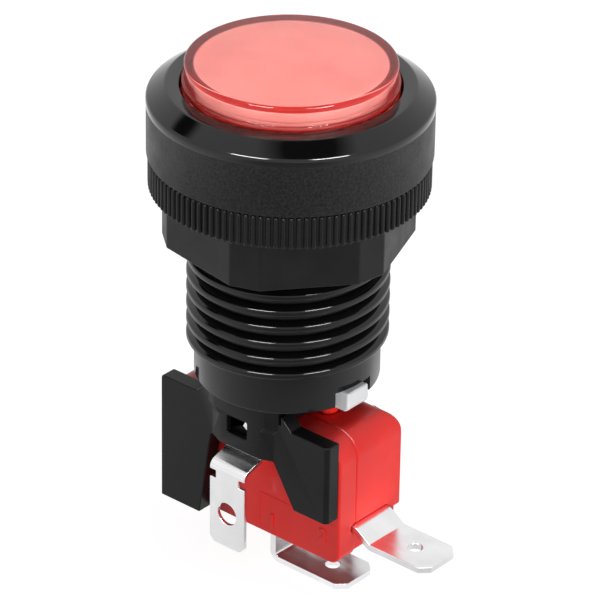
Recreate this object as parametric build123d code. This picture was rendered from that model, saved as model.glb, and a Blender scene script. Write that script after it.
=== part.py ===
from build123d import *
import math
import os

# An illuminated arcade push button, upright as it sits in a level panel.
# The origin is on the button's axis where the bezel's underside meets the panel. +Z points to the
# finger, +X along the switch to its end terminal, and -Y to the side with the cover of the switch.
# All sizes are in millimetres, and heights are counted from the panel.

# Movement and clearances
press_travel = 2.0          # how far the lens goes down
end_room = 0.3              # room left under a piece at the end of its travel
slide_gap = 0.3             # plunger in the barrel, and its legs in the holder
tower_gap = 0.5             # plunger round the lamp tower
lens_gap = 0.25             # lens skirt in the bezel's well
nut_gap = 0.15              # nut's bore round the thread's crest
seat_gap = 0.1              # between pieces that rest against each other
snap_gap = 0.05             # lens on its flange
pivot_gap = 0.15            # contact blade's roll over its post
contact_room = 0.35         # left between the contacts when the button is down

# Lamp
head_diameter = 9.6
head_height = 4.0
wedge_width = 9.6
wedge_thickness = 2.4
wedge_length = 8.5
lead_thickness = 0.3
lead_width = 1.0
lead_length = 7.0
dome_diameter = 7.8
dome_side = 2.5             # straight side under the dome's round end

# Switch body
switch_length = 25.4
switch_width = 10.9
switch_height = 15.9
cover_thickness = 2.95
switch_wall = 1.6
top_round = 3.0             # corner seen from the cover's side
bottom_round = 1.4
back_round = 2.4            # long upper edge on the side away from the cover
hole_diameter = 3.0         # the two mounting holes
hole_inset = 2.8            # their centres, in from the end and from the top or the bottom
boss_wall = 0.6
recess_depth = 0.8          # hollow in the case's end below the end terminal

# Blades of the switch
blade_width = 6.2
blade_thickness = 0.8
blade_hole_diameter = 1.7
blade_hole_inset = 4.0      # hole's centre, in from the tip
blade_tip_bevel = 1.1
blade_bend = 0.9
no_rise = 3.9               # end terminal's height over the switch's underside
no_drop = 1.4               # step down outside the switch
no_step_start = 0.4
no_step_run = 2.0
no_reach = 10.7             # out from the switch's end
com_offset = 0.9            # underside terminal's leg, along the switch from the axis
com_drop = 4.9              # leg's length below the switch
com_reach = 10.5            # blade's length from the leg

# Switch mechanism
button_diameter = 2.4
button_room = 0.4           # from the boss of the upper mounting hole
button_side = 0.2           # beside it, in the holder
button_collar = 4.2         # bar that keeps the button in
button_collar_height = 0.8
contact_blade_thickness = 0.3
contact_blade_width = 3.6
contact_blade_tail = 1.2    # beyond the pivot
pivot_offset = -6.0         # along the switch from the axis
pivot_diameter = 0.9        # roll across the contact blade, which rocks on a post
contact_diameter = 2.4
contact_thickness = 0.8

# Lamp terminals
strip_gap = 0.45            # from the switch's side
strip_thickness = 0.5
strip_width = 4.0           # inside the holder
tab_width = 5.2             # outside it
tab_reach = 2.9             # out from the strip
tab_step = 1.65             # how far the strip drops on its way out
tab_drop = 0.5              # below the switch's underside
tab_hole_diameter = 2.8
tab_hole_height = 4.4       # hole's centre over the tab's lower end
tab_bevel = 0.7
tab_nick_depth = 0.9        # nick in each edge, under the bend
tab_nick_height = 1.0
strip_bend = 0.8
spring_span = 4.0           # length of the kink that touches the lamp
strip_jog = 0.9             # how far it steps out below the barrel
strip_jog_drop = 1.5        # height of that step
strip_cut_top = 0.4         # slanted cut behind the apron's window, along the switch from the axis
strip_cut_foot = -0.8

# Holder
tower_wall = 0.55
tower_height = 13.0
plug_length = 5.6
neck_width = 9.1            # at the wings
neck_flare = 0.7            # how much wider it is towards the barrel, on each side
flare_drop = 0.8            # where it begins to widen, below the switch's top
apron_rise = 0.7            # out from the wings
apron_bevel = 1.55          # slanted edge on each side, seen from the front
apron_drop = 4.4            # below the switch's top
wing_thickness = 2.0
wing_gap = 0.05             # from the switch's side
wing_lift = 0.4             # above the switch's top
wing_short = 0.2            # in from the switch's end
short_wing_drop = 9.6       # below the switch's top
short_wing_root = 7.7       # where its slanted edge ends, from the axis
long_wing_root = 6.8        # its inner edge, from the axis
wing_bevel = 0.4
peg_length = 1.5
wing_slot = 0.3             # beside the neck, in the short wing's slanted top
wing_slot_rise = 0.7        # its lower end, above the switch's top
window_width = 2.95
window_height = 2.25
window_offset = -0.35
window_drop = 0.4           # below the switch's top

# Plunger and return spring
plunger_wall = 1.0
leg_width = 3.6
hook_width = 3.3
hook_shift = 0.8            # to the side it turns in from
hook_height = 2.5
hook_proud = 0.25           # out from the barrel's plain end
hook_bevel = 0.5
foot_width = 3.2
foot_height = 1.7
foot_room = 0.3             # from the lamp's head
flange_thickness = 1.0
spring_wire = 0.8
spring_wire_sides = 6
spring_gap = 0.7            # spring round the plunger
spring_height = 6.4
spring_turns = 3

# Lens and diffuser
diffuser_thickness = 1.1
lens_wall = 1.05
lens_top_wall = 1.05
lens_edge_round = 0.45
lens_step = 0.25            # skirt stands out this much
lens_step_drop = 2.25       # below the lens's top
bead_depth = 0.2            # snap bead under the flange
bead_height = 0.7

# Housing
barrel_wall = 1.3
thread_depth = 1.0
thread_pitch = 2.0
thread_length = 23.0
thread_relief = 1.0         # plain under the bezel
thread_overrun = 0.33       # how far the ridge's lower end comes down on the plain end
thread_start = 130.0        # direction of its lower end, in degrees
thread_base = 1.7           # ridge's width at its foot
thread_crest = 0.6
thread_sink = 0.2           # how far the ridge is rooted in the barrel
tail_wall = 1.4
tail_length = 4.6
notch_height = 1.9
notch_side = 1.45           # beside the hook
notch_lead = 0.9            # beside the hook, on the side it turns in from
bezel_floor = 1.6
bezel_ring = 1.6            # flat ring round the lens
bezel_bevel_run = 2.1
bezel_bevel_rise = 1.4
bezel_side = 7.0
bezel_round = 0.4

# Panel nut
nut_sides = 6
nut_wall = 1.45             # at its flats
nut_corner_rise = 1.0       # cut corners stand this much further out than the flats
nut_height = 10.1
nut_flange_rim = 2.7        # beyond the flats
nut_flange_height = 3.9
nut_turn = -39.4            # direction that one flat faces, in degrees

# Radii, from the lamp outwards
strip_inner = switch_width / 2 + strip_gap
strip_outer = strip_inner + strip_thickness
tower_radius = math.hypot(strip_width / 2 + seat_gap, strip_outer + seat_gap) + tower_wall
plunger_bore = tower_radius + tower_gap
plunger_radius = plunger_bore + plunger_wall
barrel_bore = plunger_radius + slide_gap
plug_radius = barrel_bore - seat_gap
root_radius = barrel_bore + barrel_wall
crest_radius = root_radius + thread_depth
tail_radius = barrel_bore + tail_wall
hook_reach = tail_radius + hook_proud
spring_radius = plunger_radius + spring_gap + spring_wire / 2
bead_radius = spring_radius + spring_wire / 2 + seat_gap
flange_radius = bead_radius + bead_depth
lens_inner = flange_radius + snap_gap
lens_radius = lens_inner + lens_wall
skirt_radius = lens_radius + lens_step
well_radius = skirt_radius + lens_gap
face_radius = well_radius + bezel_ring
bezel_radius = face_radius + bezel_bevel_run
nut_bore = crest_radius + nut_gap
nut_flat = nut_bore + nut_wall
nut_corner = nut_flat + nut_corner_rise
nut_flange_radius = nut_flat + nut_flange_rim

# Heights above the panel
bezel_top = bezel_side + bezel_bevel_rise
flange_bottom = bezel_floor + spring_height
flange_top = flange_bottom + flange_thickness
diffuser_top = flange_top + diffuser_thickness
lens_under = diffuser_top + snap_gap
lens_top = lens_under + lens_top_wall
skirt_bottom = bezel_floor + press_travel + end_room
bead_top = flange_bottom - snap_gap

# Heights below the panel
thread_bottom = -thread_length
barrel_bottom = thread_bottom - tail_length
notch_top = barrel_bottom + notch_height
hook_top = notch_top - seat_gap
hook_bottom = hook_top - hook_height
switch_top = hook_bottom - press_travel - end_room
switch_bottom = switch_top - switch_height
plug_top = barrel_bottom + plug_length
tube_bottom = plug_top + press_travel + end_room
tower_top = plug_top + tower_height
wedge_bottom = tower_top - wedge_length
head_top = tower_top + head_height
link_top = barrel_bottom - seat_gap
wing_top = switch_top + wing_lift
apron_bottom = switch_top - apron_drop
window_bottom = switch_top - window_drop - window_height
flare_bottom = switch_top - flare_drop
flare_top = flare_bottom + neck_flare
short_wing_bottom = switch_top - short_wing_drop

# Places along and across the switch
half_length = switch_length / 2
half_width = switch_width / 2
parting = cover_thickness - half_width
blade_root_width = 2 * (half_width - cover_thickness - end_room)
cavity_end = half_length - switch_wall
cavity_back = half_width - switch_wall
cavity_top = switch_top - switch_wall
cavity_bottom = switch_bottom + switch_wall
hole_x = half_length - hole_inset
boss_radius = hole_diameter / 2 + boss_wall
button_offset = hole_x - boss_radius - button_room - button_diameter / 2
upper_hole_z = switch_top - hole_inset
lower_hole_z = switch_bottom + hole_inset
wing_end = half_length - wing_short
wing_inner = half_width + wing_gap
wing_outer = wing_inner + wing_thickness
apron_front = wing_outer + apron_rise
foot_inner = head_diameter / 2 + foot_room
hook_start = -hook_shift - hook_width / 2
hook_end = hook_start + hook_width

# Heights in the switch's mechanism, upwards from the end terminal
no_z = switch_bottom + no_rise
fixed_contact_top = no_z + blade_thickness / 2 + contact_thickness
contact_x = cavity_end - end_room - contact_diameter / 2
contact_travel = press_travel * (contact_x - pivot_offset) / (button_offset - pivot_offset)
moving_contact_bottom = fixed_contact_top + contact_travel + contact_room
contact_blade_bottom = moving_contact_bottom + contact_thickness
contact_blade_top = contact_blade_bottom + contact_blade_thickness
pivot_z = (contact_blade_bottom + contact_blade_top) / 2
button_top = hook_bottom - seat_gap
button_bottom = contact_blade_top + seat_gap
com_run_z = cavity_bottom + seat_gap + blade_bend
com_blade_z = switch_bottom - com_drop


def block(x0, x1, y0, y1, z0, z1):
    centre = Pos((x0 + x1) / 2, (y0 + y1) / 2, (z0 + z1) / 2)
    return centre * Box(x1 - x0, y1 - y0, z1 - z0)


def rod(radius, z0, z1, x=0):
    return Pos(x, 0, (z0 + z1) / 2) * Cylinder(radius, z1 - z0)


def cross_rod(radius, x, z, y0, y1):
    return Pos(x, (y0 + y1) / 2, z) * Rot(90, 0, 0) * Cylinder(radius, y1 - y0)


def outline(points, rounds=()):
    # flat outline from points, with some of its corners rounded
    face = make_face(Polyline(*points, close=True))
    for (x, y), radius in rounds:
        corner = face.vertices().sort_by_distance((x, y, 0))[0]
        face = fillet(corner, radius)
    return face


def turned(points, rounds=()):
    # solid of revolution from (radius, height) points
    return revolve(Plane.XZ * outline(points, rounds), Axis.Z)


def plate(face, y0, y1):
    # flat piece that stands along the switch, from one distance across it to another
    return extrude(Plane((0, y1, 0), x_dir=(1, 0, 0), z_dir=(0, -1, 0)) * face, y1 - y0)


def bent_strip(plane, points, bend, thickness, width):
    # strip of sheet metal, bent along its middle line
    return extrude(plane * trace(FilletPolyline(*points, radius=bend), thickness), width / 2, both=True)


def both_ends(shape):
    return shape + Rot(0, 0, 180) * shape


def both_sides(shape):
    return shape + mirror(shape, Plane.XZ)


def make_thread():
    # right-hand ridge, wound up the barrel
    foot = thread_bottom - thread_overrun
    path = Helix(thread_pitch, -thread_relief - foot, root_radius, center=(0, 0, foot))
    across = Plane(path @ 0, x_dir=(1, 0, 0), z_dir=path % 0)
    section = outline([
        (-thread_sink, -thread_base / 2),
        (thread_depth, -thread_crest / 2),
        (thread_depth, thread_crest / 2),
        (-thread_sink, thread_base / 2),
    ])
    return Rot(0, 0, thread_start) * sweep(across * section, path, is_frenet=True)


def make_housing():
    body = turned([
        (barrel_bore, barrel_bottom),
        (tail_radius, barrel_bottom),
        (tail_radius, thread_bottom),
        (root_radius, thread_bottom),
        (root_radius, 0),
        (bezel_radius, 0),
        (bezel_radius, bezel_side),
        (face_radius, bezel_top),
        (well_radius, bezel_top),
        (well_radius, bezel_floor),
        (barrel_bore, bezel_floor),
    ], [((bezel_radius, bezel_side), bezel_round), ((face_radius, bezel_top), bezel_round)])
    notch = block(
        0, 2 * tail_radius, hook_start - notch_lead, hook_end + notch_side, 2 * barrel_bottom, notch_top,
    )
    return body + make_thread() - both_ends(notch)


def make_panel_nut():
    half_side = 180 / nut_sides
    flats = RegularPolygon(nut_flat, nut_sides, major_radius=False, rotation=nut_turn + half_side)
    corners = RegularPolygon(nut_corner, nut_sides, major_radius=False, rotation=nut_turn)
    top = -seat_gap
    nut = Pos(0, 0, top) * extrude(flats & corners, -nut_height)
    nut += rod(nut_flange_radius, top - nut_flange_height, top)
    return nut - rod(nut_bore, top - 2 * nut_height, 0)


def make_lens_cap():
    step_z = lens_top - lens_step_drop
    bead_foot = bead_top - bead_height
    return turned([
        (0, lens_top),
        (lens_radius, lens_top),
        (lens_radius, step_z),
        (skirt_radius, step_z),
        (skirt_radius, skirt_bottom),
        (lens_inner, skirt_bottom),
        (lens_inner, bead_foot),
        (bead_radius, bead_top - bead_height / 2),
        (bead_radius, bead_top),
        (lens_inner, bead_top),
        (lens_inner, lens_under),
        (0, lens_under),
    ], [((lens_radius, lens_top), lens_edge_round)])


def make_diffuser_disc():
    return rod(flange_radius, flange_top, diffuser_top)


def make_plunger():
    tube = turned([
        (plunger_bore, tube_bottom),
        (plunger_radius, tube_bottom),
        (plunger_radius, flange_bottom),
        (flange_radius, flange_bottom),
        (flange_radius, flange_top),
        (plunger_bore, flange_top),
    ])
    ring = rod(plunger_radius, hook_bottom, tube_bottom) - rod(plunger_bore, hook_bottom, tube_bottom)
    half_leg = leg_width / 2
    legs = ring & block(-plunger_radius, plunger_radius, -half_leg, half_leg, hook_bottom, tube_bottom)
    hook_face = outline([
        (plunger_bore, hook_bottom),
        (hook_reach - hook_bevel, hook_bottom),
        (hook_reach, hook_bottom + hook_bevel),
        (hook_reach, hook_top),
        (plunger_bore, hook_top),
    ])
    hook = plate(hook_face, hook_start, hook_end)
    half_foot = foot_width / 2
    foot_top = hook_bottom + foot_height
    foot = block(foot_inner, plunger_radius, -half_foot, half_foot, hook_bottom, foot_top)
    return tube + legs + both_ends(hook) + foot


def make_return_spring():
    foot = bezel_floor + spring_wire / 2 + snap_gap
    rise = spring_height - spring_wire - 2 * snap_gap
    path = Helix(rise / spring_turns, rise, spring_radius, center=(0, 0, foot))
    across = Plane(path @ 0, x_dir=(1, 0, 0), z_dir=path % 0)
    return sweep(across * RegularPolygon(spring_wire / 2, spring_wire_sides), path, is_frenet=True)


def make_lamp_base():
    half = wedge_thickness / 2
    wedge = block(-half, half, -wedge_width / 2, wedge_width / 2, wedge_bottom, tower_top)
    return wedge + rod(head_diameter / 2, tower_top, head_top)


def make_lamp_lead():
    # front one of the pair
    edge = -wedge_width / 2
    top = tower_top - seat_gap
    return block(-lead_width / 2, lead_width / 2, edge - lead_thickness, edge, top - lead_length, top)


def make_led_dome():
    radius = dome_diameter / 2
    shoulder = head_top + dome_side
    profile = Polyline((0, shoulder + radius), (0, head_top), (radius, head_top), (radius, shoulder))
    profile += RadiusArc((radius, shoulder), (0, shoulder + radius), -radius)
    return revolve(Plane.XZ * make_face(profile), Axis.Z)


def make_lamp_terminal():
    # front one of the pair
    middle = -(strip_inner + strip_outer) / 2
    front = middle - strip_jog
    touch = -wedge_width / 2 - lead_thickness - snap_gap - strip_thickness / 2
    top = tower_top - seat_gap
    tab_top = apron_bottom - tab_step
    tab_y = front - tab_reach
    tab_bottom = switch_bottom - tab_drop
    nick_top = tab_top - strip_bend
    nick_foot = nick_top - tab_nick_height
    strip = bent_strip(Plane.YZ, [
        (middle, top),
        (touch, top - spring_span / 2),
        (middle, top - spring_span),
        (middle, link_top),
        (front, link_top - strip_jog_drop),
        (front, apron_bottom - strip_bend),
        (tab_y, tab_top),
        (tab_y, tab_bottom),
    ], strip_bend, strip_thickness, tab_width)
    half_strip = strip_width / 2
    half_tab = tab_width / 2
    half_nick = half_tab - tab_nick_depth
    half = [
        (half_strip, top + seat_gap),
        (half_strip, apron_bottom - seat_gap),
        (half_tab, apron_bottom - seat_gap),
        (half_tab, nick_top),
        (half_nick, nick_top),
        (half_nick, nick_foot),
        (half_tab, nick_foot),
        (half_tab, tab_bottom + tab_bevel),
        (half_tab - tab_bevel, tab_bottom),
    ]
    tab_face = outline(half + [(-x, z) for x, z in reversed(half)])
    strip &= plate(tab_face, 2 * tab_y, 0)
    strip -= cross_rod(tab_hole_diameter / 2, 0, tab_bottom + tab_hole_height, 2 * tab_y, 0)
    window_top = window_bottom + window_height
    cut = outline([
        (-strip_width, window_bottom),
        (strip_cut_foot, window_bottom),
        (strip_cut_top, window_top),
        (-strip_width, window_top),
    ])
    return strip - plate(cut, 2 * tab_y, 0)


def neck_outline(half):
    # seen from above, with a slanted edge on each side of both aprons
    apron = half - apron_bevel
    return outline([
        (half, -wing_outer),
        (half, wing_outer),
        (apron, apron_front),
        (-apron, apron_front),
        (-half, wing_outer),
        (-half, -wing_outer),
        (-apron, -apron_front),
        (apron, -apron_front),
    ])


def make_switch_holder():
    holder = rod(tower_radius, plug_top, tower_top) + rod(plug_radius, link_top, plug_top)
    half_neck = neck_width / 2
    wide_neck = half_neck + neck_flare
    narrow = neck_outline(half_neck)
    wide = neck_outline(wide_neck)
    holder += Pos(0, 0, apron_bottom) * extrude(narrow, flare_bottom - apron_bottom)
    holder += loft([Pos(0, 0, flare_bottom) * narrow, Pos(0, 0, flare_top) * wide])
    holder += Pos(0, 0, flare_top) * extrude(wide, link_top - flare_top)

    # wings: a long one on each side, and a short one towards the end terminal on the front only
    gusset = link_top - wing_top
    root = half_neck - apron_bevel
    short_wing = outline([
        (root, link_top),
        (half_neck, link_top),
        (half_neck + gusset, wing_top),
        (wing_end, wing_top),
        (wing_end, short_wing_bottom),
        (short_wing_root, short_wing_bottom),
        (half_neck, apron_bottom),
        (root, apron_bottom),
    ])
    long_wing = outline([
        (-root, link_top),
        (-half_neck, link_top),
        (-half_neck - gusset, wing_top),
        (-wing_end, wing_top),
        (-wing_end, switch_bottom + wing_short),
        (-long_wing_root, switch_bottom + wing_short),
        (-long_wing_root, apron_bottom),
        (-root, apron_bottom),
    ], [((-wing_end, wing_top), wing_bevel)])
    short = plate(short_wing, -wing_outer, -wing_inner)
    outer_edges = short.edges().filter_by(Axis.Z).filter_by_position(Axis.Y, -wing_outer, -wing_outer)
    short = chamfer(outer_edges.filter_by_position(Axis.X, wing_end, wing_end), wing_bevel)
    slot_foot = switch_top + wing_slot_rise
    short -= block(wide_neck, wide_neck + wing_slot, -wing_outer, -wing_inner, slot_foot, link_top)
    peg_radius = hole_diameter / 2 - seat_gap
    peg_end = peg_length - wing_inner
    short += cross_rod(peg_radius, hole_x, upper_hole_z, -wing_outer, peg_end)
    long = plate(long_wing, -wing_outer, -wing_inner)
    long += cross_rod(peg_radius, -hole_x, lower_hole_z, -wing_outer, peg_end)

    # room for the switch, cut before its pegs are put in
    pocket = block(-half_length, half_length, -wing_inner, wing_inner, 2 * switch_bottom, switch_top + seat_gap)
    holder = holder - pocket + short + both_sides(long)

    # lamp socket and the channels of its terminals
    lamp_half = wedge_width / 2 + lead_thickness + snap_gap
    slot_half = wedge_thickness / 2 + seat_gap
    holder -= block(-slot_half, slot_half, -lamp_half, lamp_half, wedge_bottom - seat_gap, tower_top)
    half_strip = strip_width / 2 + seat_gap
    front = -strip_outer - seat_gap
    back = seat_gap - strip_inner
    kink = seat_gap - lamp_half
    kink_foot = tower_top - seat_gap - spring_span
    channel = block(-half_strip, half_strip, front - strip_jog, back, 2 * apron_bottom, link_top)
    channel += block(-half_strip, half_strip, front, back, link_top, tower_top)
    channel += block(-half_strip, half_strip, back, kink, kink_foot, tower_top)
    window = block(
        window_offset - window_width / 2, window_offset + window_width / 2,
        -2 * apron_front, front, window_bottom, window_bottom + window_height,
    )
    holder -= both_sides(channel + window)

    # ways for the plunger's legs and foot
    leg_half = max(leg_width / 2, -hook_start) + slide_gap
    way_inner = min(foot_inner - slide_gap, button_offset - button_diameter / 2 - button_side)
    foot_way = block(way_inner, 2 * plug_radius, -leg_half, leg_half, switch_top, tower_top)
    leg_way = block(-2 * plug_radius, slide_gap - plunger_bore, -leg_half, leg_half, link_top, plug_top)
    return holder - foot_way - leg_way


def switch_outline():
    return outline([
        (-half_length, switch_bottom),
        (half_length, switch_bottom),
        (half_length, switch_top),
        (-half_length, switch_top),
    ], [
        ((-half_length, switch_bottom), bottom_round),
        ((half_length, switch_bottom), bottom_round),
        ((half_length, switch_top), top_round),
        ((-half_length, switch_top), top_round),
    ])


def mounting_holes():
    holes = cross_rod(hole_diameter / 2, hole_x, upper_hole_z, -switch_width, switch_width)
    return holes + cross_rod(hole_diameter / 2, -hole_x, lower_hole_z, -switch_width, switch_width)


def terminal_ways():
    # slots where the two blades pass the switch's walls
    reach = blade_thickness / 2 + seat_gap
    wide = blade_width / 2 + seat_gap
    narrow = blade_root_width / 2 + seat_gap
    end = half_length - switch_wall / 2
    ways = block(end - seat_gap, 2 * half_length, -wide, wide, no_z - reach, no_z + reach)
    ways += block(cavity_end - seat_gap, end, -narrow, narrow, no_z - reach, no_z + reach)
    leg_top = cavity_bottom + seat_gap
    return ways + block(com_offset - reach, com_offset + reach, -narrow, narrow, 2 * switch_bottom, leg_top)


def make_switch_case():
    case = plate(switch_outline(), parting, half_width)
    side = outline([
        (parting, switch_bottom),
        (half_width, switch_bottom),
        (half_width, switch_top),
        (parting, switch_top),
    ], [((half_width, switch_top), back_round)])
    case &= extrude(Plane.YZ * side, half_length, both=True)
    case -= block(-cavity_end, cavity_end, parting, cavity_back, cavity_bottom, cavity_top)
    case += cross_rod(boss_radius, hole_x, upper_hole_z, parting, cavity_back)
    case += cross_rod(boss_radius, -hole_x, lower_hole_z, parting, cavity_back)
    hollow_top = no_z - blade_thickness / 2
    case -= block(half_length - recess_depth, half_length, parting, half_width, switch_bottom, hollow_top)
    case -= rod(button_diameter / 2 + seat_gap, cavity_top, switch_top, button_offset)
    return case - mounting_holes() - terminal_ways()


def make_switch_cover():
    return plate(switch_outline(), -half_width, parting) - mounting_holes() - terminal_ways()


def make_switch_button():
    radius = button_diameter / 2
    stem = rod(radius, button_bottom + radius, button_top, button_offset)
    tip = Pos(button_offset, 0, button_bottom + radius) * Sphere(radius)
    collar_top = cavity_top - seat_gap
    half = button_collar / 2
    collar = block(
        button_offset - radius, button_offset + radius, -half, half,
        collar_top - button_collar_height, collar_top,
    )
    return stem + tip + collar


def make_contact_blade():
    half = contact_blade_width / 2
    start = pivot_offset - contact_blade_tail
    end = contact_x + contact_diameter / 2
    blade = block(start, end, -half, half, contact_blade_bottom, contact_blade_top)
    return blade + cross_rod(pivot_diameter / 2, pivot_offset, pivot_z, -half, half)


def make_moving_contact():
    return rod(contact_diameter / 2, moving_contact_bottom, contact_blade_bottom, contact_x)


def make_fixed_contact():
    return rod(contact_diameter / 2, fixed_contact_top - contact_thickness, fixed_contact_top, contact_x)


def blade_outline(start, wide_from, tip):
    # a blade seen from above: narrow inside the switch, full width outside, bevelled at its tip
    narrow = blade_root_width / 2
    wide = blade_width / 2
    half = [
        (start, narrow),
        (wide_from, narrow),
        (wide_from, wide),
        (tip - blade_tip_bevel, wide),
        (tip, wide - blade_tip_bevel),
    ]
    face = outline(half + [(x, -y) for x, y in reversed(half)])
    return face - Pos(tip - blade_hole_inset, 0) * Circle(blade_hole_diameter / 2)


def make_no_terminal():
    blade_z = no_z - no_drop
    tip = half_length + no_reach
    start = contact_x - contact_diameter
    strip = bent_strip(Plane.XZ, [
        (start, no_z),
        (half_length + no_step_start, no_z),
        (half_length + no_step_start + no_step_run, blade_z),
        (tip, blade_z),
    ], blade_bend, blade_thickness, blade_width)
    shape = blade_outline(start, half_length - switch_wall / 2, tip)
    return strip & Pos(0, 0, 2 * switch_bottom) * extrude(shape, -2 * switch_bottom)


def make_com_terminal():
    post_top = pivot_z - pivot_diameter / 2 - pivot_gap
    tip = com_offset + com_reach
    strip = bent_strip(Plane.XZ, [
        (pivot_offset, post_top),
        (pivot_offset, com_run_z),
        (com_offset, com_run_z),
        (com_offset, com_blade_z),
        (tip, com_blade_z),
    ], blade_bend, blade_thickness, blade_width)
    start = pivot_offset - blade_thickness
    half = blade_root_width / 2
    inside = block(start, tip, -half, half, switch_bottom - seat_gap, switch_top)
    shape = blade_outline(start, com_offset - blade_thickness, tip)
    outside = Pos(0, 0, 2 * switch_bottom) * extrude(shape, -switch_bottom - seat_gap)
    return strip & (inside + outside)


def main():
    lamp_lead = make_lamp_lead()
    lamp_terminal = make_lamp_terminal()
    pieces = {
        "housing": make_housing(),
        "panel_nut": make_panel_nut(),
        "lens_cap": make_lens_cap(),
        "diffuser_disc": make_diffuser_disc(),
        "plunger": make_plunger(),
        "return_spring": make_return_spring(),
        "switch_holder": make_switch_holder(),
        "lamp_base": make_lamp_base(),
        "led_dome": make_led_dome(),
        "lamp_lead_front": lamp_lead,
        "lamp_lead_rear": mirror(lamp_lead, Plane.XZ),
        "lamp_terminal_front": lamp_terminal,
        "lamp_terminal_rear": mirror(lamp_terminal, Plane.XZ),
        "switch_case": make_switch_case(),
        "switch_cover": make_switch_cover(),
        "switch_button": make_switch_button(),
        "contact_blade": make_contact_blade(),
        "moving_contact": make_moving_contact(),
        "fixed_contact": make_fixed_contact(),
        "no_terminal": make_no_terminal(),
        "com_terminal": make_com_terminal(),
    }
    os.makedirs("parts", exist_ok=True)
    for name, piece in pieces.items():
        export_step(piece, f"parts/{name}.step")


main()
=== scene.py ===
import math

import bmesh
import bpy
from mathutils import Matrix, Vector


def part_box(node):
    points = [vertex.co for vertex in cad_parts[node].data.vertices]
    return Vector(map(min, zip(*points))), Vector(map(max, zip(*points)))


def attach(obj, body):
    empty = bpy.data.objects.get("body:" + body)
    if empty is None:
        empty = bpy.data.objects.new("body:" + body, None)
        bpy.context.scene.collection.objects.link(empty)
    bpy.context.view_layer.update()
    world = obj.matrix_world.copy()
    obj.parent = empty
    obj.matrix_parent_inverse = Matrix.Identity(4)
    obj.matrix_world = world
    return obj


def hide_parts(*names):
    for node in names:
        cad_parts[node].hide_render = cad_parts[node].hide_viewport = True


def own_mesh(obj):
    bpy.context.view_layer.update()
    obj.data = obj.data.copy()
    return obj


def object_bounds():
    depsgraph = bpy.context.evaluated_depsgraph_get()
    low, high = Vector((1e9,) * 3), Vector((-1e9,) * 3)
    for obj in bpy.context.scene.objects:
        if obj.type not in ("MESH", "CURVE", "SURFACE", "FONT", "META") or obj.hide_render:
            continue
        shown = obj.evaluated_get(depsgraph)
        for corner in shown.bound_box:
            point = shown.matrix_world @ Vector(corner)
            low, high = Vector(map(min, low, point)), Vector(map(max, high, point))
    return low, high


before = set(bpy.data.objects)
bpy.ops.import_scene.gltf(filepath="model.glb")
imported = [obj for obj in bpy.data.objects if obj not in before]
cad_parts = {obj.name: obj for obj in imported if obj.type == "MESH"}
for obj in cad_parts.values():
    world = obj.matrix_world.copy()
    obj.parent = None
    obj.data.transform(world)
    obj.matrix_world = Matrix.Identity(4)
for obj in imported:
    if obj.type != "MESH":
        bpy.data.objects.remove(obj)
cadLow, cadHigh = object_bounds()

mm = 0.001
mergeDistance = 1e-7  # metres
flatAngle = 0.3       # degrees within which neighbouring faces count as one flat


# mesh helpers

def newObject(name, data):
    obj = bpy.data.objects.new(name, data)
    bpy.context.scene.collection.objects.link(obj)
    return obj


def meshFrom(name, points, faces):
    mesh = bpy.data.meshes.new(name)
    mesh.from_pydata([tuple(p) for p in points], [], faces)
    return mesh


def meshFromBm(name, bm):
    mesh = bpy.data.meshes.new(name)
    bm.to_mesh(mesh)
    bm.free()
    return mesh


def evaluatedMesh(obj):
    ready = obj.evaluated_get(bpy.context.evaluated_depsgraph_get())
    return bpy.data.meshes.new_from_object(ready)


def freeze(obj):
    # modifiers into a plain mesh
    done = evaluatedMesh(obj)
    obj.modifiers.clear()
    old = obj.data
    obj.data = done
    bpy.data.meshes.remove(old)
    done.name = obj.name


def softShade(mesh, angle):
    for polygon in mesh.polygons:
        polygon.use_smooth = True
    mesh.set_sharp_from_angle(angle=math.radians(angle))


def roundEdges(obj, width, segments, angle):
    bevel = obj.modifiers.new("edges", "BEVEL")
    bevel.width = width * mm
    bevel.segments = segments
    bevel.limit_method = "ANGLE"
    bevel.angle_limit = math.radians(angle)
    bevel.use_clamp_overlap = False
    bevel.miter_outer = "MITER_ARC"
    bevel.harden_normals = True
    for polygon in obj.data.polygons:
        polygon.use_smooth = True
    freeze(obj)


def cutAway(obj, cutters):
    for cutter in cutters:
        cut = obj.modifiers.new("cut", "BOOLEAN")
        cut.operation = "DIFFERENCE"
        cut.solver = "EXACT"
        cut.object = cutter
    freeze(obj)
    for cutter in cutters:
        bpy.data.objects.remove(cutter)


def roundedPath(corners, steps=5):
    # corners are (radius, height, rounding) in mm, in order round a closed outline
    path = []
    for i, (x, y, size) in enumerate(corners):
        here = Vector((x, y))
        if not size:
            path.append(here)
            continue
        a = (Vector(corners[i - 1][:2]) - here).normalized()
        b = (Vector(corners[(i + 1) % len(corners)][:2]) - here).normalized()
        half = a.angle(b) / 2
        centre = here + (a + b).normalized() * (size / math.sin(half))
        u = here + a * (size / math.tan(half)) - centre
        v = here + b * (size / math.tan(half)) - centre
        turn = u.angle(v)
        for k in range(steps + 1):
            t = k / steps
            arm = math.sin((1 - t) * turn) * u + math.sin(t * turn) * v
            path.append(centre + arm / math.sin(turn))
    return path


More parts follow.
